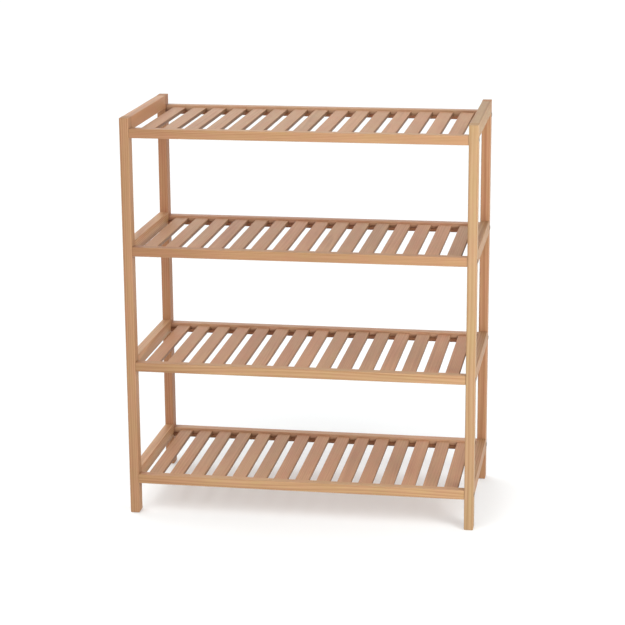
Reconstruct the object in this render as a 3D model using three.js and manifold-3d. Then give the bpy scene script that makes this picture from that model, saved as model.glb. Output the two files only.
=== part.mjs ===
// Four-tier wooden shoe rack: two dowelled side frames joined by four slatted shelves,
// each shelf held by a button-head screw through every post, its head partly sunk in a counterbore.
// Millimetres, +Z up, front towards -Y, origin on the floor under the middle of the rack.

import * as THREE from 'three';
import { mergeVertices } from 'three/addons/utils/BufferGeometryUtils.js';
import Module from 'manifold-3d';

const wasm = await Module();
wasm.setup();

// ---------------------------------------------------------------- driving dimensions

const WIDTH = 680; // over the outer faces of the posts
const DEPTH = 324; // over the front and rear faces of the posts
const HEIGHT = 790;
const GAP = 0.3; // glue-line and seating gap between two pieces

const POST = { x: 18, y: 26 }; // section of a post
const SIDE_RAIL = { x: 18, z: 26 }; // section of a rail between a front and a rear post
const LONG_RAIL = { y: 18, z: 18 }; // section of a rail between the left and right posts
const LONG_RAIL_RECESS = 1; // long rail face behind the post face

const TIER_COUNT = 4;
const TIER_FIRST = 80; // top of the lowest long rails
const TIER_PITCH = 230; // from one shelf to the next
const SIDE_RAIL_RISE = 8; // side rail top above the long rail top

const SLAT = { count: 15, x: 27, z: 7 };
const SLAT_DROP = 4; // slat top below the long rail top
const LEDGER = { y: 8, z: 6 }; // batten under the slat ends
const LEDGER_BITE = 0.5; // how far the batten is let into the slats

const SCREW = {
  shank: 2.5,
  length: 48,
  point: 4,
  head: 5,
  headHeight: 1.9,
  headEdge: 0.7,
  sunk: 1, // depth of the counterbore in the post's outer face
  socket: 1.75,
  socketDepth: 1.2,
  sides: 12,
};
const SCREW_HOLE_DEPTH = 32; // in the end of a long rail
const DOWEL = { radius: 4, length: 28, inPost: 10, chamfer: 0.8, sides: 12 };
const DOWEL_HOLE_SPARE = 0.5; // hole deeper than the dowel at each end

// ---------------------------------------------------------------- worked-out dimensions

const INNER_X = WIDTH / 2 - POST.x; // inner face of the posts
const INNER_Y = DEPTH / 2 - POST.y; // face of a post that meets a side rail
const POST_X = WIDTH / 2 - POST.x / 2;
const POST_Y = DEPTH / 2 - POST.y / 2;
const LONG_RAIL_Y = DEPTH / 2 - LONG_RAIL_RECESS - LONG_RAIL.y / 2;
const LONG_RAIL_INNER_Y = LONG_RAIL_Y - LONG_RAIL.y / 2;
const DECK_Y = LONG_RAIL_INNER_Y - GAP; // half the length of a slat
const SLAT_SPACE = (2 * INNER_X - SLAT.count * SLAT.x) / (SLAT.count + 1);
const SLAT_PITCH = SLAT.x + SLAT_SPACE;

const tiers = Array.from({ length: TIER_COUNT }, (_, i) => i + 1);
const tierTop = (tier) => TIER_FIRST + (tier - 1) * TIER_PITCH;
const longRailZ = (tier) => tierTop(tier) - LONG_RAIL.z / 2;
const isTopTier = (tier) => tier === TIER_COUNT;
const sideRailTop = (tier) => (isTopTier(tier) ? HEIGHT : tierTop(tier) + SIDE_RAIL_RISE);
const sideRailZ = (tier) => sideRailTop(tier) - SIDE_RAIL.z / 2;

const SIDES = [
  { name: 'left', sign: -1 },
  { name: 'right', sign: 1 },
];
const ENDS = [
  { name: 'front', sign: -1 },
  { name: 'rear', sign: 1 },
];

// ---------------------------------------------------------------- solids

// A closed geometry as a solid that can be joined and cut.
function toSolid(geometry) {
  const bare = geometry.clone();
  bare.deleteAttribute('normal');
  bare.deleteAttribute('uv');
  const merged = mergeVertices(bare, 1e-4);
  const mesh = new wasm.Mesh({
    numProp: 3,
    vertProperties: new Float32Array(merged.attributes.position.array),
    triVerts: new Uint32Array(merged.index.array),
  });
  return new wasm.Manifold(mesh);
}

// The solid's triangles as a geometry.
function toGeometry(solid) {
  const mesh = solid.getMesh();
  const geometry = new THREE.BufferGeometry();
  geometry.setAttribute('position', new THREE.BufferAttribute(mesh.vertProperties.slice(), 3));
  geometry.setIndex(new THREE.BufferAttribute(mesh.triVerts.slice(), 1));
  geometry.computeVertexNormals();
  return geometry;
}

// The first geometry with the others cut out of it.
function cut(geometry, tools) {
  return toGeometry(tools.reduce((solid, tool) => solid.subtract(toSolid(tool)), toSolid(geometry)));
}

// Overlapping geometries as one.
function join(geometries) {
  const [first, ...rest] = geometries.map(toSolid);
  return toGeometry(rest.reduce((solid, other) => solid.add(other), first));
}

// A block with its middle at x, y, z.
function block(width, depth, height, x = 0, y = 0, z = 0) {
  return new THREE.BoxGeometry(width, depth, height).translate(x, y, z);
}

// A hole tool along X, from x0 to x1.
function holeAlongX(radius, x0, x1, y, z, sides) {
  const tool = new THREE.CylinderGeometry(radius, radius, x1 - x0, sides);
  return tool.rotateZ(Math.PI / 2).translate((x0 + x1) / 2, y, z);
}

// A hole tool along Y, from y0 to y1.
function holeAlongY(radius, y0, y1, x, z, sides) {
  const tool = new THREE.CylinderGeometry(radius, radius, y1 - y0, sides);
  return tool.translate(x, (y0 + y1) / 2, z);
}

// ---------------------------------------------------------------- pieces

// A post, drilled and counterbored across for the shelf screws, and drilled on its inner edge for the
// side rail dowels. toRail is +1 where the side rails are on the post's +Y side, as on a front post,
// and outward is +1 where the screw heads are on its +X side, as on a right post.
function post(toRail, outward) {
  const screwY = (LONG_RAIL_Y - POST_Y) * -toRail;
  const screwHoles = tiers.map((tier) =>
    holeAlongX(SCREW.shank + GAP, -POST.x, POST.x, screwY, longRailZ(tier), SCREW.sides),
  );
  const seat = (POST.x / 2 - SCREW.sunk) * outward;
  const clear = POST.x * outward;
  const counterbores = tiers.map((tier) =>
    holeAlongX(
      SCREW.head + GAP,
      Math.min(seat, clear),
      Math.max(seat, clear),
      screwY,
      longRailZ(tier),
      SCREW.sides,
    ),
  );
  const face = (POST.y / 2) * toRail;
  const bottom = face - (DOWEL.inPost + DOWEL_HOLE_SPARE) * toRail;
  const mouth = face + toRail;
  const dowelHoles = tiers.map((tier) =>
    holeAlongY(
      DOWEL.radius + GAP,
      Math.min(bottom, mouth),
      Math.max(bottom, mouth),
      0,
      sideRailZ(tier),
      DOWEL.sides,
    ),
  );
  const timber = block(POST.x, POST.y, HEIGHT, 0, 0, HEIGHT / 2);
  return cut(timber, [...screwHoles, ...counterbores, ...dowelHoles]);
}

// A rail of a side frame, with a dowel hole in each end.
function sideRail() {
  const half = INNER_Y - GAP;
  const depth = DOWEL.length - DOWEL.inPost + DOWEL_HOLE_SPARE;
  const radius = DOWEL.radius + GAP;
  return cut(block(SIDE_RAIL.x, 2 * half, SIDE_RAIL.z), [
    holeAlongY(radius, -half - 1, -half + depth, 0, 0, DOWEL.sides),
    holeAlongY(radius, half - depth, half + 1, 0, 0, DOWEL.sides),
  ]);
}

// A front or rear shelf rail, with a screw hole in each end.
function longRail() {
  const half = INNER_X - GAP;
  const radius = SCREW.shank + GAP;
  return cut(block(2 * half, LONG_RAIL.y, LONG_RAIL.z), [
    holeAlongX(radius, -half - 1, -half + SCREW_HOLE_DEPTH, 0, 0, SCREW.sides),
    holeAlongX(radius, half - SCREW_HOLE_DEPTH, half + 1, 0, 0, SCREW.sides),
  ]);
}

// The slats of one shelf on their two battens, measured down from the top of the slats.
function slatDeck() {
  const slats = Array.from({ length: SLAT.count }, (_, i) => {
    const x = (i - (SLAT.count - 1) / 2) * SLAT_PITCH;
    return block(SLAT.x, 2 * DECK_Y, SLAT.z, x, 0, -SLAT.z / 2);
  });
  const battenHeight = LEDGER.z + LEDGER_BITE;
  const battenZ = -SLAT.z + LEDGER_BITE - battenHeight / 2;
  const battens = ENDS.map(({ sign }) => {
    const y = sign * (DECK_Y - LEDGER.y / 2);
    return block(2 * (INNER_X - GAP), LEDGER.y, battenHeight, 0, y, battenZ);
  });
  return join([...battens, ...slats]);
}

// A button-head screw along +Y, with its head's seat at y = 0 and its point inside the rack.
function shelfScrew() {
  const crown = SCREW.headHeight - SCREW.headEdge;
  const profile = [
    [0, -SCREW.length],
    [SCREW.shank * 0.4, -SCREW.length],
    [SCREW.shank, -SCREW.length + SCREW.point],
    [SCREW.shank, 0],
    [SCREW.head, 0],
    [SCREW.head, SCREW.headEdge],
    [SCREW.head * 0.82, SCREW.headEdge + crown * 0.6],
    [SCREW.head * 0.5, SCREW.headHeight],
    [0, SCREW.headHeight],
  ].map(([radius, y]) => new THREE.Vector2(radius, y));
  const body = new THREE.LatheGeometry(profile, SCREW.sides);
  const socket = new THREE.CylinderGeometry(SCREW.socket, SCREW.socket, 2 * SCREW.socketDepth, 6);
  return cut(body, [socket.translate(0, SCREW.headHeight, 0)]);
}

// A fluteless beech dowel along Y, chamfered at both ends.
function dowel() {
  const half = DOWEL.length / 2;
  const tip = DOWEL.radius - DOWEL.chamfer;
  const profile = [
    [0, -half],
    [tip, -half],
    [DOWEL.radius, -half + DOWEL.chamfer],
    [DOWEL.radius, half - DOWEL.chamfer],
    [tip, half],
    [0, half],
  ].map(([radius, y]) => new THREE.Vector2(radius, y));
  return toGeometry(toSolid(new THREE.LatheGeometry(profile, DOWEL.sides)));
}

// ---------------------------------------------------------------- materials

const materials = {
  frameWood: new THREE.MeshStandardMaterial({ color: 0xc99c70, roughness: 0.55, metalness: 0 }),
  railWood: new THREE.MeshStandardMaterial({ color: 0xcda078, roughness: 0.55, metalness: 0 }),
  slatWood: new THREE.MeshStandardMaterial({ color: 0xc29878, roughness: 0.6, metalness: 0 }),
  dowelWood: new THREE.MeshStandardMaterial({ color: 0xd8bd97, roughness: 0.7, metalness: 0 }),
  steel: new THREE.MeshStandardMaterial({ color: 0x8d8a84, roughness: 0.35, metalness: 1 }),
};

// ---------------------------------------------------------------- assembly

const rack = new THREE.Group();

function add(parent, name, geometry, material, x, y, z) {
  const mesh = new THREE.Mesh(geometry, material);
  mesh.name = name;
  mesh.position.set(x, y, z);
  parent.add(mesh);
  return mesh;
}

// One side frame: two posts, the rails between them and their dowels.
function sideFrame(side) {
  const frame = new THREE.Group();
  frame.position.x = side.sign * POST_X;
  for (const end of ENDS) {
    const name = `post_${end.name}_${side.name}`;
    add(frame, name, post(-end.sign, side.sign), materials.frameWood, 0, end.sign * POST_Y, 0);
  }
  for (const tier of tiers) {
    const name = isTopTier(tier) ? `top_rail_${side.name}` : `side_rail_${side.name}_${tier}`;
    add(frame, name, sideRail(), materials.frameWood, 0, 0, sideRailZ(tier));
    for (const end of ENDS) {
      const dowelName = `dowel_${end.name}_${side.name}_${tier}`;
      const y = end.sign * (INNER_Y + DOWEL.inPost - DOWEL.length / 2);
      add(frame, dowelName, dowel(), materials.dowelWood, 0, y, sideRailZ(tier));
    }
  }
  return frame;
}

// One shelf: front and rear rails with the slat deck between them.
function shelf(tier) {
  const group = new THREE.Group();
  group.position.z = tierTop(tier);
  for (const end of ENDS) {
    const y = end.sign * LONG_RAIL_Y;
    add(group, `${end.name}_rail_${tier}`, longRail(), materials.railWood, 0, y, -LONG_RAIL.z / 2);
  }
  add(group, `slat_deck_${tier}`, slatDeck(), materials.slatWood, 0, 0, -SLAT_DROP);
  return group;
}

// The four screws of one shelf, each driven in from the outer face of a post.
function shelfScrews(tier) {
  const group = new THREE.Group();
  group.position.z = longRailZ(tier);
  for (const side of SIDES) {
    for (const end of ENDS) {
      const x = side.sign * (WIDTH / 2 - SCREW.sunk + GAP);
      const name = `screw_${end.name}_${side.name}_${tier}`;
      const screw = add(group, name, shelfScrew(), materials.steel, x, end.sign * LONG_RAIL_Y, 0);
      screw.rotation.z = (-side.sign * Math.PI) / 2;
    }
  }
  return group;
}

for (const side of SIDES) {
  rack.add(sideFrame(side));
}
for (const tier of tiers) {
  rack.add(shelf(tier), shelfScrews(tier));
}

export default rack;
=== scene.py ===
# Looks of a four-tier slatted shoe rack: two dowelled side frames and four shelves, each with fifteen
# loose slats stapled to two ledger battens, held by a button-head screw through every post.
# Metres, +Z up, front towards -Y, as in the frame.

import math
import random

import bmesh
import bpy
from mathutils import Matrix, Vector


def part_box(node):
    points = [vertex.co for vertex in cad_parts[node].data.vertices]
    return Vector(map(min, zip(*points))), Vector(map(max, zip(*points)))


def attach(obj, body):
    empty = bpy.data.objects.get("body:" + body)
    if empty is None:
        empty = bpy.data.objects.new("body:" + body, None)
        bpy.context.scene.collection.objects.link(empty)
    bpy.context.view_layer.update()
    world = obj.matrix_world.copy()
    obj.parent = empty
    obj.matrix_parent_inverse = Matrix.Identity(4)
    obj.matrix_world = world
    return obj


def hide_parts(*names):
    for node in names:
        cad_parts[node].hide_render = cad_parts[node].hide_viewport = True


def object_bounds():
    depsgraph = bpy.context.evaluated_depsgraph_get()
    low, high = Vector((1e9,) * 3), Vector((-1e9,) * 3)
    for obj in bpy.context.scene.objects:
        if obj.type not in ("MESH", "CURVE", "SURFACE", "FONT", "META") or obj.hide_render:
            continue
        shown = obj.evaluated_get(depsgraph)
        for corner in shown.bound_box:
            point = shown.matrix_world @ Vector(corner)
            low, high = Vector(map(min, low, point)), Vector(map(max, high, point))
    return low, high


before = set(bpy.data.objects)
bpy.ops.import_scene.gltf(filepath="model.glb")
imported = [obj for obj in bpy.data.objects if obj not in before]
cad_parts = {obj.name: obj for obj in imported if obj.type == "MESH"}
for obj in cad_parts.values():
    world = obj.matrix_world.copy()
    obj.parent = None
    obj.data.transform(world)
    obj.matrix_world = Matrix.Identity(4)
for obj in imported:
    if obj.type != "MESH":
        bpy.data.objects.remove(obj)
cad_low, cad_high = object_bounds()

# ---------------------------------------------------------------- sizes

MM = 0.001
X, Y, Z = 0, 1, 2

TIERS = (1, 2, 3, 4)
TOP_TIER = TIERS[-1]
SIDES = ("left", "right")
ENDS = ("front", "rear")

POST_ROUNDING = 1.6 * MM
RAIL_ROUNDING = 1.2 * MM
SLAT_ROUNDING = 1.1 * MM
LEDGER_ROUNDING = 0.4 * MM
END_ROUNDING = 0.3 * MM  # the sawn ends stay crisp, so that flush joints close
FOOT_ROUNDING = 2.2 * MM
ROUNDING_STEPS = 3
END_STEPS = 2

SLAT_COUNT = 15
SLAT_WIDTH = 27 * MM
SLAT_THICKNESS = 7 * MM
SLAT_WANDER = 0.5 * MM  # how far a slat may sit from its even place
LEDGER_WIDTH = 8 * MM

SCREW_HOLE = {"radius": 2.8 * MM, "depth": 32 * MM}
COUNTERBORE = 5.3 * MM  # radius of the recess around a screw head
DOWEL_HOLE = {"radius": 4.3 * MM, "spare": 0.5 * MM}
HOLE_SIDES = 32
HOLE_MOUTH = 1 * MM  # how far a drill starts outside the wood

SCREW = {
    "head": 5 * MM,
    "crown": 2.4 * MM,  # radius of the flat on top of the head
    "dome": 1.2 * MM,
    "dome_steps": 6,
    "undercut": 0.1 * MM,  # how far the underside of the head draws in
    "head_height": 1.9 * MM,
    "socket": 1.75 * MM,
    "socket_depth": 1.2 * MM,
    "shank": 2.45 * MM,
    "core": 1.85 * MM,
    "plain": 16 * MM,  # length of shank without thread
    "pitch": 2.2 * MM,
    "ridge": 0.6,  # the part of the pitch that the thread's ridge takes up
    "point": 4 * MM,
    "tip": 0.1 * MM,
    "sides": 36,
    "rows_per_turn": 8,
    "crease": 35,  # degrees between faces that makes an edge sharp
}
DOWEL = {"flutes": 18, "sides_per_flute": 4, "flute_depth": 0.22 * MM, "chamfer": 0.9 * MM}
STAPLE = {
    "width": 10 * MM,
    "leg": 10 * MM,
    "bend": 0.9 * MM,
    "wire": (1.2 * MM, 0.6 * MM),
    "wire_sides": 8,
    "bend_steps": 5,
    "wander": 2,  # millimetres that a staple may sit from the middle of its slat
}

# ---------------------------------------------------------------- meshes


def new_piece(name, mesh):
    """An object for a mesh, in the scene."""
    piece = bpy.data.objects.new(name, mesh)
    bpy.context.scene.collection.objects.link(piece)
    return piece


def mesh_from(name, shape):
    """A mesh from a bmesh, which is used up."""
    mesh = bpy.data.meshes.new(name)
    bmesh.ops.recalc_face_normals(shape, faces=shape.faces)
    shape.to_mesh(mesh)
    shape.free()
    return mesh


def bevel(shape, edges, radius, steps):
    bmesh.ops.bevel(shape, geom=edges, offset=radius, segments=steps, profile=0.5, affect="EDGES")


def rounded_block(low, high, along, radius, low_end=END_ROUNDING):
    """A block between two corners, with its long edges rounded and its ends eased. along is the axis
    that its length follows, and low_end the rounding of the end at the low corner."""
    shape = bmesh.new()
    bmesh.ops.create_cube(shape, size=1)
    bmesh.ops.scale(shape, vec=high - low, verts=shape.verts)
    bmesh.ops.translate(shape, vec=(low + high) / 2, verts=shape.verts)
    middle = (low[along] + high[along]) / 2

    def edges_with(count):
        """The edges with that many of their two vertices on the high side of the middle."""
        return [
            edge
            for edge in shape.edges
            if sum(vertex.co[along] > middle for vertex in edge.verts) == count
        ]

    bevel(shape, edges_with(1), radius, ROUNDING_STEPS)
    bevel(shape, edges_with(2), END_ROUNDING, END_STEPS)
    bevel(shape, edges_with(0), low_end, END_STEPS)
    return shape


def around(angle, radius, z):
    """A point of a circle round the Z axis."""
    return (radius * math.cos(angle), radius * math.sin(angle), z)


def ring(shape, sides, point_at):
    """Vertices once round, at point_at(angle)."""
    return [shape.verts.new(point_at(2 * math.pi * i / sides)) for i in range(sides)]


def skin(shape, rings):
    """Faces between rings of vertices that follow each other, and over the two ends."""
    for one, other in zip(rings, rings[1:]):
        for i in range(len(one)):
            j = (i + 1) % len(one)
            shape.faces.new((one[i], one[j], other[j], other[i]))
    shape.faces.new(rings[0])
    shape.faces.new(rings[-1])


def drill(start, end, radius):
    """A round bar to cut a hole with."""
    shape = bmesh.new()
    turn = (end - start).to_track_quat("Z", "Y")

    def rim(middle):
        """A point of the circle round a point, for an angle."""
        return lambda angle: middle + turn @ Vector(around(angle, radius, 0))

    skin(shape, [ring(shape, HOLE_SIDES, rim(middle)) for middle in (start, end)])
    return mesh_from("drill", shape)


def drilled(piece, holes):
    """Cuts holes, each given as start, end and radius, out of a piece for good."""
    drills = [new_piece("drill", drill(*hole)) for hole in holes]
    for tool in drills:
        cut = piece.modifiers.new("hole", "BOOLEAN")
        cut.operation = "DIFFERENCE"
        cut.solver = "EXACT"
        cut.object = tool
    graph = bpy.context.evaluated_depsgraph_get()
    piece.data = bpy.data.meshes.new_from_object(piece.evaluated_get(graph))
    piece.modifiers.clear()
    for tool in drills:
        bpy.data.objects.remove(tool)


# ---------------------------------------------------------------- grain

HEART_DISTANCE = (45 * MM, 110 * MM)  # from the middle of a piece to the heart of its tree
BOARD_LENGTH = 40  # metres of timber that a piece may come from
FACES_THAT_WAY = 0.9  # the least part of a face's normal along an axis

# Boards with a tone and blush of their own: tone from -1 dark to 2 very pale, blush from -1 yellow to
# 1 red. The others get theirs at random, within these spreads of 0.
TONE_SPREAD = 0.7
BLUSH_SPREAD = 0.35
BOARDS = {
    "post_front_left": (-0.3, 0.0),
    "post_front_right": (0.2, -1.0),
    "post_rear_left": (-0.3, 0.8),
    "post_rear_right": (-0.2, 0.5),
    "front_rail_1": (0.8, -0.2),
    "front_rail_2": (0.2, -0.2),
    "front_rail_3": (-0.6, 0.3),
    "front_rail_4": (0.1, 0.1),
    "rear_rail_1": (2.0, 0.3),
    "rear_rail_2": (1.5, 0.4),
    "rear_rail_3": (0.8, 0.8),
    "rear_rail_4": (1.4, 0.2),
    "top_rail_left": (2.0, 0.4),
    "top_rail_right": (-0.4, -0.8),
    "side_rail_left_1": (2.0, -0.2),
    "side_rail_left_2": (2.0, -0.2),
    "side_rail_left_3": (1.5, 0.0),
}

# Boards with painted shade at their low end, towards -X, -Y or the floor: darker and redder there,
# where less light falls on them.
SHADED_LOW_ENDS = {f"front_rail_{tier}": 1.0 for tier in TIERS}


def chance_for(name):
    """Random numbers that belong to one piece, the same on every run."""
    return random.Random("rack " + name)


def roundness(point, low, high, axes, radius):
    """From 0 on a flat face to 1 on the middle of a rounded edge between the faces of two axes. Each
    axis gives the square root of a half there, so the product is doubled."""
    share = 2.0
    for axis in axes:
        half = (high[axis] - low[axis]) / 2
        out = abs(point[axis] - (low[axis] + high[axis]) / 2) - (half - radius)
        share *= max(0.0, min(1.0, out / radius))
    return min(1.0, share)


def mark_points(mesh, along, low, high, radius, offset):
    """Stores where each point lay in its board, how far along the piece it is and how rounded."""
    across = [axis for axis in (X, Y, Z) if axis != along]
    middle = (low + high) / 2
    grain, edge, way = (mesh.attributes[name].data for name in ("grain", "edge", "way"))
    for point, at, worn, share in zip(mesh.vertices, grain, edge, way):
        place = point.co - middle
        at.vector = (
            place[across[0]] + offset[0],
            place[across[1]] + offset[1],
            place[along] + offset[2],
        )
        worn.value = roundness(point.co, low, high, across, radius)
        share.value = (point.co[along] - low[along]) / (high[along] - low[along])


def mark_faces(mesh, along, low, high):
    """Stores which faces are end grain, which are the narrow sides and which look up."""
    across = [axis for axis in (X, Y, Z) if axis != along]
    thin = min(across, key=lambda axis: high[axis] - low[axis])
    thick = max(across, key=lambda axis: high[axis] - low[axis])
    end_grain, narrow_side, upward = (mesh.attributes[name].data for name in ("end_grain", "narrow_side", "upward"))
    for face, at_end, at_side, at_top in zip(mesh.polygons, end_grain, narrow_side, upward):
        at_end.value = float(abs(face.normal[along]) > FACES_THAT_WAY)
        at_side.value = float(thin != thick and abs(face.normal[thick]) > FACES_THAT_WAY)
        at_top.value = float(face.normal.z > FACES_THAT_WAY)


def cut_from_board(piece, name, along, low, high, radius):
    """Stores what the wood material needs to know of the part of that name: its place in the board that
    it was sawn from, its faces and edges, and its tone. along is the axis that the grain follows."""
    chance = chance_for(name)
    to_heart = chance.uniform(0, 2 * math.pi)
    heart = chance.uniform(*HEART_DISTANCE)
    offset = (heart * math.cos(to_heart), heart * math.sin(to_heart), chance.uniform(0, BOARD_LENGTH))

    # All attributes are made before any is filled, because making one moves the others.
    attributes = piece.data.attributes
    attributes.new("grain", "FLOAT_VECTOR", "POINT")
    attributes.new("edge", "FLOAT", "POINT")
    attributes.new("way", "FLOAT", "POINT")
    attributes.new("end_grain", "FLOAT", "FACE")
    attributes.new("narrow_side", "FLOAT", "FACE")
    attributes.new("upward", "FLOAT", "FACE")
    mark_points(piece.data, along, low, high, radius, offset)
    mark_faces(piece.data, along, low, high)

    by_chance = (chance.uniform(-TONE_SPREAD, TONE_SPREAD), chance.uniform(-BLUSH_SPREAD, BLUSH_SPREAD))
    tone, blush = BOARDS.get(name, by_chance)
    piece["tone"] = float(tone)
    piece["blush"] = float(blush)
    # how strongly painted shade darkens the low end of this board
    piece["low_end"] = SHADED_LOW_ENDS.get(name, 0.0)


def smooth(piece):
    """Smooth shading all over."""
    for face in piece.data.polygons:
        face.use_smooth = True


def soften(piece):
    """Smooth shading on the rounded edges, with the flat faces kept flat."""
    smooth(piece)
    normals = piece.modifiers.new("flat faces", "WEIGHTED_NORMAL")
    normals.mode = "FACE_AREA"
    normals.weight = 100
    normals.keep_sharp = True


def settle(piece, material, nodes):
    """Gives a finished piece its material and its place in the frame."""
    piece.data.materials.clear()
    piece.data.materials.append(material)
    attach(piece, "root")
    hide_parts(*nodes)


def timber(name, low, high, along, radius, material, nodes, holes=(), low_end=END_ROUNDING):
    """A rounded and drilled wooden piece."""
    shape = rounded_block(low, high, along, radius, low_end)
    piece = new_piece(name + "_wood", mesh_from(name, shape))
    if holes:
        drilled(piece, holes)
    cut_from_board(piece, name, along, low, high, radius)
    soften(piece)
    settle(piece, material, nodes)


# ---------------------------------------------------------------- material nodes


def node(tree, kind, inputs=None, **settings):
    """A node with its inputs linked to sockets or set to values."""
    made = tree.nodes.new("ShaderNode" + kind)
    for name, value in settings.items():
        setattr(made, name, value)
    for key, value in (inputs or {}).items():
        if isinstance(value, bpy.types.NodeSocket):
            tree.links.new(value, made.inputs[key])
        else:
            made.inputs[key].default_value = value
    return made


def maths(tree, operation, *values):
    """The result of a Math node."""
    return node(tree, "Math", dict(enumerate(values)), operation=operation).outputs[0]


def stretched(tree, vector, across, along):
    """A board coordinate measured in features of that size across and along the grain."""
    sizes = (1 / across, 1 / across, 1 / along)
    return node(tree, "VectorMath", {0: vector, 1: sizes}, operation="MULTIPLY").outputs[0]


def noise(tree, vector, detail=2.0, roughness=0.5):
    """Smooth noise around 0, about -1 to 1, from a texture whose middle is a half."""
    made = node(
        tree, "TexNoise", {"Vector": vector, "Scale": 1, "Detail": detail, "Roughness": roughness}
    )
    return maths(tree, "MULTIPLY_ADD", made.outputs["Fac"], 4.0, -2.0)


def step(tree, value, start, end):
    """0 below start, 1 above end, with a smooth rise between."""
    inputs = {"Value": value, "From Min": start, "From Max": end}
    made = node(tree, "MapRange", inputs, interpolation_type="SMOOTHSTEP", clamp=True)
    return made.outputs["Result"]


def mix(tree, share, one, other, blend="MIX"):
    """Two colours mixed."""
    made = node(tree, "Mix", {"Factor": share}, data_type="RGBA", blend_type=blend)
    for name, value in (("A", one), ("B", other)):
        socket = next(s for s in made.inputs if s.name == name and s.type == "RGBA")
        if isinstance(value, bpy.types.NodeSocket):
            tree.links.new(value, socket)
        else:
            socket.default_value = (*value, 1)
    return next(s for s in made.outputs if s.type == "RGBA")


def attribute(tree, name, kind="GEOMETRY"):
    return node(tree, "Attribute", attribute_type=kind, attribute_name=name)


def new_material(name):
    """An empty node material: its tree, its Principled shader and itself."""
    material = bpy.data.materials.new(name)
    material.use_nodes = True
    tree = material.node_tree
    shader = tree.nodes["Principled BSDF"]
    return tree, shader, material


# ---------------------------------------------------------------- wood

# Sizes of the features of wood, across and along the grain.
BEND = (70 * MM, 600 * MM)
WAVER = (6 * MM, 180 * MM)
UNEVEN = (9 * MM, 700 * MM)
PORE = (0.8 * MM, 6 * MM)
PORE_PATCH = (5 * MM, 60 * MM)
TONE_PATCH = (30 * MM, 140 * MM)
STREAK = (1.7 * MM, 240 * MM)
FIBRE = (0.5 * MM, 20 * MM)
BLOTCH = (13 * MM, 45 * MM)

RINGS = {
    "bend": 4 * MM,  # how far the rings stray from circles along a board
    "waver": 0.35 * MM,  # and over a few millimetres
    "late_from": 0.1,  # where in a ring the late wood begins and ends
    "late_to": 0.82,
    "strength": 0.9,
    "unevenness": 0.45,
}
PORES = {"rim": 0.22, "core": 0.08, "patch_from": -0.5, "patch_to": 0.9, "depth": 0.35}

# Tints, as factors for red, green and blue.
PALE_BOARD = (0.97, 1.1, 1.1)
RED_BOARD = (1.03, 0.9, 0.9)
GREEN_BLOTCH = (0.97, 1.04, 0.96)
PINK_BLOTCH = (1.03, 0.96, 1.05)
# painted shade: darker and redder towards the low end of some boards
LOW_END_SHADE = (0.87, 0.79, 0.78)
END_GRAIN = (0.93, 0.93, 0.94)
PIT = (0.45, 0.38, 0.34)

DARKENING = {"base": 0.3, "fibre": 0.09}  # shares of the dark colour
TONES = {"board": 0.1, "patch": 0.05}
HUES = {"middle": 0.5, "board": 0.5, "blotch": 0.4}
# paler rounded edges: partly rubbed wear, partly a painted highlight along the edges
EDGE_WEAR_AND_HIGHLIGHT = {"base": 0.4, "blotch": 0.12}
LOW_END_SHADE_REACH = 0.32  # the part of a board's length that the painted shade at its low end takes up

OIL = {"ior": 1.47, "sheen": 0.22}
DULLNESS = {"fibre": 0.05, "blotch": 0.03, "pore": 0.15, "end": 0.2}
RELIEF = {"fibre": 0.3, "late": 0.35, "pore": -1.3, "strength": 0.6, "depth": 0.06 * MM}


def growth_rings(tree, board, ring_gap):
    """0 in early wood, rising slowly to about 1 in late wood and falling quickly after it."""
    part = node(tree, "SeparateXYZ", {0: board})
    flat = node(tree, "CombineXYZ", {0: part.outputs[0], 1: part.outputs[1]}).outputs[0]
    from_heart = node(tree, "VectorMath", {0: flat}, operation="LENGTH").outputs["Value"]
    bend = noise(tree, stretched(tree, board, *BEND), detail=1.0)
    waver = noise(tree, stretched(tree, board, *WAVER))
    radius = maths(tree, "MULTIPLY_ADD", bend, RINGS["bend"], from_heart)
    radius = maths(tree, "MULTIPLY_ADD", waver, RINGS["waver"], radius)
    phase = maths(tree, "FRACT", maths(tree, "DIVIDE", radius, ring_gap))
    rise = step(tree, phase, RINGS["late_from"], RINGS["late_to"])
    fall = step(tree, phase, RINGS["late_to"], 1.0)
    uneven = noise(tree, stretched(tree, board, *UNEVEN), detail=1.0)
    strength = maths(tree, "MULTIPLY_ADD", uneven, RINGS["unevenness"], RINGS["strength"])
    return maths(tree, "MULTIPLY", maths(tree, "SUBTRACT", rise, fall), strength)


def pores(tree, board):
    """1 in the short fine pores along the grain, which come in patches."""
    cells = {"Vector": stretched(tree, board, *PORE), "Scale": 1}
    nearest = node(tree, "TexVoronoi", cells, feature="F1").outputs["Distance"]
    patchy = noise(tree, stretched(tree, board, *PORE_PATCH), detail=1.0)
    pore = step(tree, nearest, PORES["rim"], PORES["core"])
    return maths(tree, "MULTIPLY", pore, step(tree, patchy, PORES["patch_from"], PORES["patch_to"]))


def board_tone(tree, board):
    """How much paler than usual the wood is here: by board and in broad patches."""
    tone = attribute(tree, "tone", "OBJECT").outputs["Fac"]
    level = maths(tree, "MULTIPLY_ADD", tone, TONES["board"], 1.0)
    patch = noise(tree, stretched(tree, board, *TONE_PATCH))
    level = maths(tree, "MULTIPLY_ADD", patch, TONES["patch"], level)
    return node(tree, "CombineColor", {0: level, 1: level, 2: level}).outputs[0]


def tinted(tree, colour, share, tint):
    """A colour multiplied by a tint where share is 1."""
    return mix(tree, share, colour, mix(tree, 1.0, colour, tint, "MULTIPLY"))


def between_tints(tree, colour, value, reach, one, other):
    """A colour multiplied by one tint where value is low and by the other where it is high."""
    hue = maths(tree, "MULTIPLY_ADD", value, reach, HUES["middle"])
    tint = mix(tree, node(tree, "Clamp", {0: hue}).outputs[0], one, other)
    return mix(tree, 1.0, colour, tint, "MULTIPLY")


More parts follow.
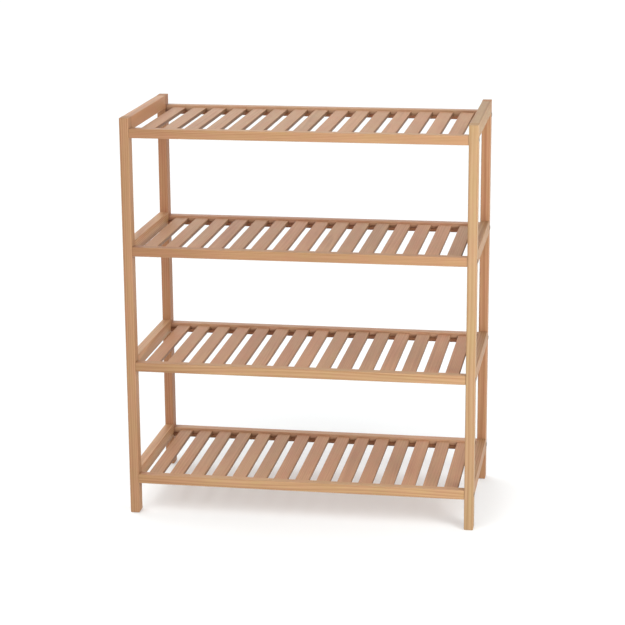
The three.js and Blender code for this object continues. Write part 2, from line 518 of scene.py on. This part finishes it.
def figure(tree, features, pale, dark, rings, streaks):
    """The colour of fresh wood, from pale early wood to dark late wood."""
    depth = maths(tree, "MULTIPLY_ADD", features["late"], rings, DARKENING["base"])
    depth = maths(tree, "MULTIPLY_ADD", features["streak"], streaks, depth)
    depth = maths(tree, "MULTIPLY_ADD", features["fibre"], DARKENING["fibre"], depth)
    return mix(tree, node(tree, "Clamp", {0: depth}).outputs[0], pale, dark)


def board_hue(tree, colour, features, board):
    """The colour with the hue and tone of its board, its blotches, and painted shade that darkens its low
    end.
    """
    blush = attribute(tree, "blush", "OBJECT").outputs["Fac"]
    colour = between_tints(tree, colour, blush, HUES["board"], PALE_BOARD, RED_BOARD)
    blotch = features["blotch"]
    colour = between_tints(tree, colour, blotch, HUES["blotch"], GREEN_BLOTCH, PINK_BLOTCH)
    colour = mix(tree, 1.0, colour, board_tone(tree, board), "MULTIPLY")
    # painted shade: darker and redder towards the low end of the boards listed for it
    near_shaded_low_end = step(tree, attribute(tree, "way").outputs["Fac"], LOW_END_SHADE_REACH, 0.0)
    low_end = attribute(tree, "low_end", "OBJECT").outputs["Fac"]
    return tinted(tree, colour, maths(tree, "MULTIPLY", near_shaded_low_end, low_end), LOW_END_SHADE)


def wear_and_edge_highlight(tree, colour, features, pale, dark):
    """The colour with dark pores, and paler rounded edges that are partly rubbed wear and partly a painted
    highlight.
    """
    pit = mix(tree, 1.0, dark, PIT, "MULTIPLY")
    colour = mix(tree, maths(tree, "MULTIPLY", features["pore"], PORES["depth"]), colour, pit)
    edge_wear_and_highlight = maths(tree, "MULTIPLY_ADD", features["blotch"], EDGE_WEAR_AND_HIGHLIGHT["blotch"], EDGE_WEAR_AND_HIGHLIGHT["base"])
    edge = attribute(tree, "edge").outputs["Fac"]
    return mix(tree, maths(tree, "MULTIPLY", edge, edge_wear_and_highlight), colour, pale)


def oil(tree, shader, features, end, gloss):
    """Satin oil, duller in the pores and on the ends."""
    dull = maths(tree, "MULTIPLY_ADD", features["fibre"], DULLNESS["fibre"], gloss)
    dull = maths(tree, "MULTIPLY_ADD", features["blotch"], DULLNESS["blotch"], dull)
    dull = maths(tree, "MULTIPLY_ADD", features["pore"], DULLNESS["pore"], dull)
    dull = maths(tree, "MULTIPLY_ADD", end, DULLNESS["end"], dull)
    tree.links.new(dull, shader.inputs["Roughness"])
    shader.inputs["IOR"].default_value = OIL["ior"]
    shader.inputs["Specular IOR Level"].default_value = OIL["sheen"]


def relief(tree, shader, features):
    """Raised late wood and fibres, and sunken pores."""
    late = maths(tree, "MULTIPLY", features["late"], RELIEF["late"])
    height = maths(tree, "MULTIPLY_ADD", features["fibre"], RELIEF["fibre"], late)
    height = maths(tree, "MULTIPLY_ADD", features["pore"], RELIEF["pore"], height)
    inputs = {"Height": height, "Strength": RELIEF["strength"], "Distance": RELIEF["depth"]}
    tree.links.new(node(tree, "Bump", inputs).outputs[0], shader.inputs["Normal"])


def wood(name, pale, dark, ring_gap, rings=0.4, streaks=0.2, gloss=0.52, sides=0.95, top_highlight=1.0):
    """Planed, oiled wood with growth rings, streaks, fibres, pores, blotches, and paler rounded edges that
    are partly rubbed wear and partly a painted highlight. sides multiplies the colour of the narrow sides,
    as painted shade, and the last argument that of the faces that look up, as a painted highlight."""
    tree, shader, material = new_material(name)
    board = attribute(tree, "grain").outputs["Vector"]
    features = {
        "late": growth_rings(tree, board, ring_gap),
        "pore": pores(tree, board),
        "streak": noise(tree, stretched(tree, board, *STREAK), detail=3.0, roughness=0.62),
        "fibre": noise(tree, stretched(tree, board, *FIBRE), roughness=0.6),
        "blotch": noise(tree, stretched(tree, board, *BLOTCH)),
    }
    colour = figure(tree, features, pale, dark, rings, streaks)
    colour = board_hue(tree, colour, features, board)
    colour = wear_and_edge_highlight(tree, colour, features, pale, dark)
    end = attribute(tree, "end_grain").outputs["Fac"]
    colour = tinted(tree, colour, end, END_GRAIN)
    # painted shade: the narrow sides darker, most on the slats, whose sides face the narrow gaps
    colour = tinted(tree, colour, attribute(tree, "narrow_side").outputs["Fac"], (sides, sides, sides))
    # painted highlight: the faces that look up made paler, for the sheen they catch
    if top_highlight != 1.0:
        colour = tinted(tree, colour, attribute(tree, "upward").outputs["Fac"], (top_highlight, top_highlight, top_highlight))
    tree.links.new(colour, shader.inputs["Base Color"])
    oil(tree, shader, features, end, gloss)
    relief(tree, shader, features)
    return material


# ---------------------------------------------------------------- metal

STEEL_PATCH = (2.2 * MM, 2.2 * MM)
STEEL_SCRATCH = (0.18 * MM, 1.6 * MM)
STEEL = {
    "worn_from": -0.5,
    "worn_to": 0.8,
    "scratch_from": 0.7,
    "scratch_to": 1.0,
    "bare": 1.5,  # how much brighter the metal is in a scratch
    "worn_dullness": 0.18,
    "scratch_dullness": 0.03,
    "bump": 0.3,
    "scratch_depth": 0.01 * MM,
}


def steel(name, colour, tarnish, roughness):
    """Plated steel with darker, duller patches and fine scratches from handling."""
    tree, shader, material = new_material(name)
    place = node(tree, "TexCoord").outputs["Object"]
    patch = noise(tree, stretched(tree, place, *STEEL_PATCH), detail=3.0)
    scratch = noise(tree, stretched(tree, place, *STEEL_SCRATCH), detail=1.0)
    worn = step(tree, patch, STEEL["worn_from"], STEEL["worn_to"])
    bare = tuple(min(1, STEEL["bare"] * c) for c in colour)
    scratched = step(tree, scratch, STEEL["scratch_from"], STEEL["scratch_to"])
    base = mix(tree, scratched, mix(tree, worn, colour, tarnish), bare)
    tree.links.new(base, shader.inputs["Base Color"])
    shader.inputs["Metallic"].default_value = 1
    dull = maths(tree, "MULTIPLY_ADD", worn, STEEL["worn_dullness"], roughness)
    dull = maths(tree, "MULTIPLY_ADD", scratch, STEEL["scratch_dullness"], dull)
    tree.links.new(dull, shader.inputs["Roughness"])
    inputs = {"Height": scratch, "Strength": STEEL["bump"], "Distance": STEEL["scratch_depth"]}
    tree.links.new(node(tree, "Bump", inputs).outputs[0], shader.inputs["Normal"])
    return material


MATERIALS = {
    "frame": wood("oiled frame wood", (0.46, 0.268, 0.143), (0.30, 0.145, 0.066), 3.9 * MM, rings=0.48),
    "front_rail": wood(
        "oiled front rail wood",
        (0.465, 0.284, 0.15),
        (0.295, 0.15, 0.068),
        2.7 * MM,
        rings=0.5,
        # painted highlight: the tops of the front rails made paler
        top_highlight=1.14,
    ),
    "rear_rail": wood(
        "oiled rear rail wood", (0.475, 0.30, 0.188), (0.31, 0.168, 0.092), 2.7 * MM, rings=0.42
    ),
    "slat": wood(
        "oiled slat wood",
        (0.472, 0.256, 0.135),
        (0.328, 0.164, 0.079),
        3.2 * MM,
        rings=0.34,
        streaks=0.27,
        # painted shade: the narrow sides of the slats, which face the gaps, much darker
        sides=0.6,
    ),
    # the ledger colour is darkened as painted shade: the ledgers sit in the shade under the slat ends
    "ledger": wood("dark ledger wood", (0.32, 0.14, 0.07), (0.20, 0.085, 0.04), 3.4 * MM),
    "dowel": wood("raw beech", (0.62, 0.46, 0.30), (0.50, 0.34, 0.21), 2.8 * MM, gloss=0.7),
    "screw": steel("bronzed screw steel", (0.36, 0.28, 0.20), (0.20, 0.155, 0.115), 0.34),
    "staple": steel("galvanised staple wire", (0.56, 0.56, 0.55), (0.36, 0.36, 0.36), 0.4),
}

# ---------------------------------------------------------------- side frames


def along_axis(axis, value, others):
    """A point with one coordinate given and the rest from another point."""
    point = Vector(others)
    point[axis] = value
    return point


def screw_line(tier, side, end):
    """Where the axis of a shelf screw runs: its middle point."""
    low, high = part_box(f"screw_{end}_{side}_{tier}")
    return (low + high) / 2


def screw_holes(tier, side, end, low, high):
    """The hole right through a post for a shelf screw, and the recess for its head."""
    line = screw_line(tier, side, end)
    screw_low, screw_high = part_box(f"screw_{end}_{side}_{tier}")
    if side == "right":
        outside, seat = high.x + HOLE_MOUTH, screw_high.x - SCREW["head_height"]
    else:
        outside, seat = low.x - HOLE_MOUTH, screw_low.x + SCREW["head_height"]
    start = along_axis(X, low.x - HOLE_MOUTH, line)
    stop = along_axis(X, high.x + HOLE_MOUTH, line)
    recess = (along_axis(X, outside, line), along_axis(X, seat, line), COUNTERBORE)
    return [(start, stop, SCREW_HOLE["radius"]), recess]


def dowel_hole(tier, side, end, outside):
    """The hole for one end of a dowel, from past its tip to outside, a place along Y."""
    low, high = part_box(f"dowel_{end}_{side}_{tier}")
    middle = (low + high) / 2
    tip = high.y + DOWEL_HOLE["spare"] if outside < middle.y else low.y - DOWEL_HOLE["spare"]
    return (
        along_axis(Y, tip, middle),
        along_axis(Y, outside, middle),
        DOWEL_HOLE["radius"],
    )


def post(side, end):
    name = f"post_{end}_{side}"
    low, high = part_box(name)
    rail_face = high.y if end == "front" else low.y
    out = HOLE_MOUTH if end == "front" else -HOLE_MOUTH
    holes = []
    for tier in TIERS:
        holes += screw_holes(tier, side, end, low, high)
        holes.append(dowel_hole(tier, side, end, rail_face + out))
    timber(
        name,
        low,
        high,
        Z,
        POST_ROUNDING,
        MATERIALS["frame"],
        [name],
        holes,
        FOOT_ROUNDING,
    )


def side_rail(tier, side):
    name = f"top_rail_{side}" if tier == TOP_TIER else f"side_rail_{side}_{tier}"
    low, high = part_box(name)
    holes = [
        dowel_hole(tier, side, "front", low.y - HOLE_MOUTH),
        dowel_hole(tier, side, "rear", high.y + HOLE_MOUTH),
    ]
    timber(name, low, high, Y, RAIL_ROUNDING, MATERIALS["frame"], [name], holes)


def dowel_mesh(length, radius):
    """A fluted dowel along Z with tapered ends."""
    shape = bmesh.new()
    sides = DOWEL["sides_per_flute"] * DOWEL["flutes"]
    half = length / 2
    chamfer = DOWEL["chamfer"]
    outline = ((-half, chamfer), (chamfer - half, 0), (half - chamfer, 0), (half, chamfer))

    def fluted(z, inset):
        """A point of the fluted outline at that height, for an angle."""

        def point_at(angle):
            groove = DOWEL["flute_depth"] * (0.5 + 0.5 * math.cos(DOWEL["flutes"] * angle))
            return around(angle, radius - inset - groove, z)

        return point_at

    skin(shape, [ring(shape, sides, fluted(z, inset)) for z, inset in outline])
    return mesh_from("dowel", shape)


def dowel(tier, side, end):
    name = f"dowel_{end}_{side}_{tier}"
    low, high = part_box(name)
    mesh = dowel_mesh(high.y - low.y, (high.z - low.z) / 2)
    roll = chance_for(name + " roll").uniform(0, 2 * math.pi)
    mesh.transform(Matrix.Rotation(-math.pi / 2, 4, "X") @ Matrix.Rotation(roll, 4, "Z"))
    mesh.transform(Matrix.Translation((low + high) / 2))
    piece = new_piece(name + "_wood", mesh)
    cut_from_board(piece, name, Y, low, high, DOWEL["chamfer"])
    settle(piece, MATERIALS["dowel"], [name])


# ---------------------------------------------------------------- shelves


def long_rail(tier, end):
    name = f"{end}_rail_{tier}"
    low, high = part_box(name)
    holes = []
    for side, face, inward in (("left", low.x, 1), ("right", high.x, -1)):
        line = screw_line(tier, side, end)
        start = along_axis(X, face - inward * HOLE_MOUTH, line)
        bottom = along_axis(X, face + inward * SCREW_HOLE["depth"], line)
        holes.append((start, bottom, SCREW_HOLE["radius"]))
    material = MATERIALS[f"{end}_rail"]
    timber(name, low, high, X, RAIL_ROUNDING, material, [name], holes)


def slat_places(tier):
    """The middle of each slat of a shelf along X, evenly spaced between the posts."""
    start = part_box("post_front_left")[1].x
    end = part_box("post_front_right")[0].x
    space = (end - start - SLAT_COUNT * SLAT_WIDTH) / (SLAT_COUNT + 1)
    pitch = SLAT_WIDTH + space
    chance = chance_for(f"slats {tier}")
    for i in range(SLAT_COUNT):
        even = start + space + SLAT_WIDTH / 2 + i * pitch
        yield even + chance.uniform(-SLAT_WANDER, SLAT_WANDER)


def slat(tier, number, x):
    deck = f"slat_deck_{tier}"
    low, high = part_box(deck)
    half = SLAT_WIDTH / 2
    timber(
        f"slat_{tier}_{number:02d}",
        Vector((x - half, low.y, high.z - SLAT_THICKNESS)),
        Vector((x + half, high.y, high.z)),
        Y,
        SLAT_ROUNDING,
        MATERIALS["slat"],
        [deck],
    )


def ledger(tier, end):
    """The batten under the slat ends along one long rail."""
    deck = f"slat_deck_{tier}"
    low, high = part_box(deck)
    top = high.z - SLAT_THICKNESS
    outer = low.y if end == "front" else high.y
    inner = outer + (LEDGER_WIDTH if end == "front" else -LEDGER_WIDTH)
    timber(
        f"ledger_{end}_{tier}",
        Vector((low.x, min(outer, inner), low.z)),
        Vector((high.x, max(outer, inner), top)),
        X,
        LEDGER_ROUNDING,
        MATERIALS["ledger"],
        [deck],
    )


def staple_line():
    """The middle of a staple's wire in its own X and Z: up one leg, over the crown and down the other.
    The crown is at the bottom, and the legs point up."""
    half = STAPLE["width"] / 2
    bend = STAPLE["bend"]
    left = [(-half, STAPLE["leg"])]
    for i in range(STAPLE["bend_steps"] + 1):
        angle = i / STAPLE["bend_steps"] * math.pi / 2
        left.append((-half + bend - bend * math.cos(angle), bend - bend * math.sin(angle)))
    return left + [(-x, z) for x, z in reversed(left)]


def wire_outline(middle, ahead):
    """A point of the wire's outline where it runs ahead through a point, for an angle."""
    broad, thin = (size / 2 for size in STAPLE["wire"])
    side = Vector((ahead.y, 0, -ahead.x))
    return lambda angle: middle + side * thin * math.cos(angle) + Vector((0, broad * math.sin(angle), 0))


def add_staple(shape, crown):
    """One staple with the middle of its crown at a point."""
    line = staple_line()
    rings = []
    for i, (x, z) in enumerate(line):
        before = Vector(line[max(0, i - 1)])
        after = Vector(line[min(len(line) - 1, i + 1)])
        outline = wire_outline(crown + Vector((x, 0, z)), (after - before).normalized())
        rings.append(ring(shape, STAPLE["wire_sides"], outline))
    skin(shape, rings)


def staples(tier):
    """Two staples for each slat of a shelf, driven up through the ledgers."""
    deck = f"slat_deck_{tier}"
    low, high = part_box(deck)
    shape = bmesh.new()
    chance = chance_for(f"staples {tier}")
    for x in slat_places(tier):
        for y in (low.y + LEDGER_WIDTH / 2, high.y - LEDGER_WIDTH / 2):
            off = chance.uniform(-STAPLE["wander"], STAPLE["wander"]) * MM
            add_staple(shape, Vector((x + off, y, low.z)))
    piece = new_piece(f"staples_{tier}", mesh_from(f"staples_{tier}", shape))
    smooth(piece)
    settle(piece, MATERIALS["staple"], [deck])


# ---------------------------------------------------------------- screws


def hex_radius(angle):
    """Distance from the middle of a hex socket to its wall."""
    sixth = math.pi / 3
    return SCREW["socket"] * math.cos(sixth / 2) / math.cos(angle % sixth - sixth / 2)


def screw_rows(length):
    """The outline of a screw from the bottom of its socket, over the head and down to the point.
    Each row is a height below the top of the head and a radius for an angle."""
    s = SCREW
    yield -s["socket_depth"], hex_radius
    yield 0, hex_radius
    for i in range(s["dome_steps"] + 1):
        angle = i / s["dome_steps"] * math.pi / 2
        r = s["crown"] + (s["head"] - s["crown"]) * math.sin(angle)
        yield -s["dome"] * (1 - math.cos(angle)), lambda _, r=r: r
    yield -s["head_height"], lambda _: s["head"] - s["undercut"]
    yield -s["head_height"], lambda _: s["shank"]
    thread_start = -s["head_height"] - s["plain"]
    yield thread_start, lambda _: s["shank"]
    thread_end = s["point"] - length
    rows = int((thread_start - thread_end) / s["pitch"] * s["rows_per_turn"])
    for i in range(1, rows + 1):
        z = thread_start + (thread_end - thread_start) * i / rows
        yield z, lambda angle, z=z: threaded(angle, z, 1.0)
    for i in range(1, s["rows_per_turn"]):
        left = 1 - i / s["rows_per_turn"]
        z = thread_end - s["point"] * (1 - left)
        yield z, lambda angle, z=z, left=left: threaded(angle, z, left)
    yield -length, lambda _: s["tip"]


def threaded(angle, z, taper):
    """Radius of the screw where it is threaded."""
    s = SCREW
    turn = (angle / (2 * math.pi) - z / s["pitch"]) % 1
    ridge = max(0.0, 1 - abs(2 * turn - 1) / s["ridge"])
    return (s["core"] + (s["shank"] - s["core"]) * ridge) * taper


def screw_outline(z, radius):
    """A point of the outline of a screw at that height, for an angle."""
    return lambda angle: around(angle, radius(angle), z)


def screw_mesh(length):
    """A button-head screw down -Z, with the top of its head at the origin."""
    shape = bmesh.new()
    skin(shape, [ring(shape, SCREW["sides"], screw_outline(*row)) for row in screw_rows(length)])
    return mesh_from("shelf_screw", shape)


def screw(tier, side, end):
    name = f"screw_{end}_{side}_{tier}"
    low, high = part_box(name)
    middle = (low + high) / 2
    outward = 1 if side == "right" else -1
    head_top = high.x if side == "right" else low.x
    mesh = screw_mesh(high.x - low.x)
    roll = chance_for(name).uniform(0, 2 * math.pi)
    turn = Matrix.Rotation(outward * math.pi / 2, 4, "Y") @ Matrix.Rotation(roll, 4, "Z")
    mesh.transform(Matrix.Translation((head_top, middle.y, middle.z)) @ turn)
    piece = new_piece(name + "_steel", mesh)
    smooth(piece)
    piece.data.set_sharp_from_angle(angle=math.radians(SCREW["crease"]))
    settle(piece, MATERIALS["screw"], [name])


# ---------------------------------------------------------------- the rack

for side_name in SIDES:
    for end_name in ENDS:
        post(side_name, end_name)
    for tier_number in TIERS:
        side_rail(tier_number, side_name)
        for end_name in ENDS:
            dowel(tier_number, side_name, end_name)
            screw(tier_number, side_name, end_name)

for tier_number in TIERS:
    for end_name in ENDS:
        long_rail(tier_number, end_name)
        ledger(tier_number, end_name)
    for slat_number, slat_x in enumerate(slat_places(tier_number), start=1):
        slat(tier_number, slat_number, slat_x)
    staples(tier_number)

# ---------------------------------------------------------------- studio

FLOOR_SIZE = 60  # metres
FLOOR_DROP = 0.1 * MM  # keeps the floor's own face clear of the feet
FLOOR_WHITE = (0.665, 0.687, 0.693)
FLOOR_GLOW = 0.28  # light that the floor gives off itself, like a lit table
FLOOR_PATCH = (0.4, 0.4)
FLOOR_LOOK = {"mottle": 0.004, "roughness": 0.9, "sheen": 0.2}

# The sky is white near the horizon, where it is the backdrop, and dimmer overhead.
SKY = {"horizon": 1.0, "dome": 0.34, "fade_from": math.radians(10), "fade_to": math.radians(28)}

# Lights: power, direction from the front towards the right in degrees, and height in degrees. The key
# is a round soft box this far from the rack; the others are broad lights far away, this many degrees wide.
KEY_LIGHT = {"power": 29, "azimuth": 50, "height": 17, "distance": 2.0, "size": 1.2}
FAR_LIGHTS = {
    "fill": {"power": 1.35, "azimuth": -25, "height": 50, "width": 50},
    "back": {"power": 1.85, "azimuth": -140, "height": 40, "width": 70},
}
LIGHT_TARGET = Vector((0, 0, 0.4))  # the middle of the rack


def floor():
    """A plain white floor."""
    shape = bmesh.new()
    bmesh.ops.create_grid(shape, x_segments=1, y_segments=1, size=FLOOR_SIZE / 2)
    made = new_piece("floor", mesh_from("floor", shape))
    made.location.z = cad_low.z - FLOOR_DROP
    tree, shader, material = new_material("white floor")
    place = node(tree, "TexCoord").outputs["Object"]
    mottle = noise(tree, stretched(tree, place, *FLOOR_PATCH))
    level = maths(tree, "MULTIPLY_ADD", mottle, FLOOR_LOOK["mottle"], 1.0)
    even = node(tree, "CombineColor", {0: level, 1: level, 2: level}).outputs[0]
    tree.links.new(mix(tree, 1.0, even, FLOOR_WHITE, "MULTIPLY"), shader.inputs["Base Color"])
    shader.inputs["Roughness"].default_value = FLOOR_LOOK["roughness"]
    shader.inputs["Specular IOR Level"].default_value = FLOOR_LOOK["sheen"]
    shader.inputs["Emission Color"].default_value = (1, 1, 1, 1)
    shader.inputs["Emission Strength"].default_value = FLOOR_GLOW
    made.data.materials.append(material)


def sky():
    """Even white light, brighter at the horizon than overhead."""
    world = bpy.data.worlds.new("studio")
    bpy.context.scene.world = world
    world.use_nodes = True
    tree = world.node_tree
    towards = node(tree, "SeparateXYZ", {0: node(tree, "TexCoord").outputs["Generated"]}).outputs[2]
    height = maths(tree, "ARCSINE", towards)
    overhead = step(tree, height, SKY["fade_from"], SKY["fade_to"])
    level = maths(tree, "MULTIPLY_ADD", overhead, SKY["dome"] - SKY["horizon"], SKY["horizon"])
    background = tree.nodes["Background"]
    background.inputs["Color"].default_value = (1, 1, 1, 1)
    tree.links.new(level, background.inputs["Strength"])


def light(name, kind, setting, distance):
    """A light of a kind that shines at the rack from its direction."""
    data = bpy.data.lights.new(name, kind)
    data.energy = setting["power"]
    azimuth, height = math.radians(setting["azimuth"]), math.radians(setting["height"])
    level = math.cos(height)
    towards = Vector((math.sin(azimuth) * level, -math.cos(azimuth) * level, math.sin(height)))
    lamp = bpy.data.objects.new(name, data)
    bpy.context.scene.collection.objects.link(lamp)
    lamp.location = LIGHT_TARGET + distance * towards
    lamp.rotation_mode = "QUATERNION"
    lamp.rotation_quaternion = towards.to_track_quat("Z", "Y")
    lamp.visible_camera = False
    return data


def lights():
    key = light("key", "AREA", KEY_LIGHT, KEY_LIGHT["distance"])
    key.shape = "DISK"
    key.size = KEY_LIGHT["size"]
    for name, setting in FAR_LIGHTS.items():
        far = light(name, "SUN", setting, KEY_LIGHT["distance"])
        far.angle = math.radians(setting["width"])


# Place in metres, angles in radians, lens and sensor in millimetres.
CAMERA = {
    "place": Vector((0.6187, -3.6741, 1.3621)),
    "yaw": 0.1663,
    "pitch": -0.2433,
    "roll": -0.0067,
    "lens": 111.44,
    "sensor": 36.0,
    "shift_y": -0.044,
}


def camera():
    """The camera at the front, a little to the right and above the rack."""
    yaw, pitch, roll = CAMERA["yaw"], CAMERA["pitch"], CAMERA["roll"]
    ahead = Vector((-math.sin(yaw) * math.cos(pitch), math.cos(yaw) * math.cos(pitch), math.sin(pitch)))
    right = Vector((math.cos(yaw), math.sin(yaw), 0))
    up = right.cross(ahead)
    right, up = (
        right * math.cos(roll) + up * math.sin(roll),
        up * math.cos(roll) - right * math.sin(roll),
    )
    data = bpy.data.cameras.new("camera")
    data.lens = CAMERA["lens"]
    data.sensor_width = CAMERA["sensor"]
    data.shift_y = CAMERA["shift_y"]
    made = bpy.data.objects.new("camera", data)
    turn = Matrix((right, up, -ahead)).transposed().to_4x4()
    made.matrix_world = Matrix.Translation(CAMERA["place"]) @ turn
    bpy.context.scene.collection.objects.link(made)
    bpy.context.scene.camera = made


floor()
sky()
lights()
camera()
bpy.context.scene.view_settings.view_transform = "Standard"
